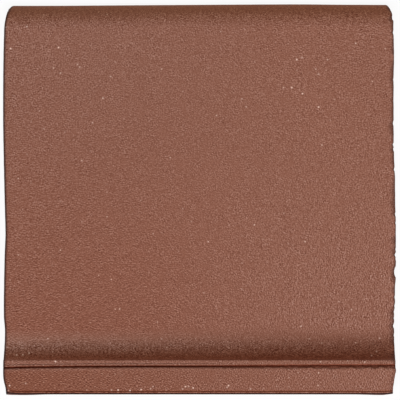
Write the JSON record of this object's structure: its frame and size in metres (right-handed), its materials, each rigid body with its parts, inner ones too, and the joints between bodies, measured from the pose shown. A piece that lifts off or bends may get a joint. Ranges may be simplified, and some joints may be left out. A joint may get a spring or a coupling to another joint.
{
  "type": "quarry tile cove base",
  "caption": "Unglazed red clay cove base tile with a rounded top edge and a coved foot that ends in a grooved toe; it finishes a wall where it meets a tiled floor.",
  "frame": {"origin": "on the back face, under the middle of the tile's outline", "axes": "the tile lies on its back: +X along the wall that it is set on, +Y up that wall towards the rounded top, +Z out of the face"},
  "size_m": [0.1492, 0.1484, 0.0264],
  "materials": {
    "fired_clay": "matte"
  },
  "bodies": {
    "root": {"cove_base_tile": "fired_clay"}
  },
  "joints": []
}
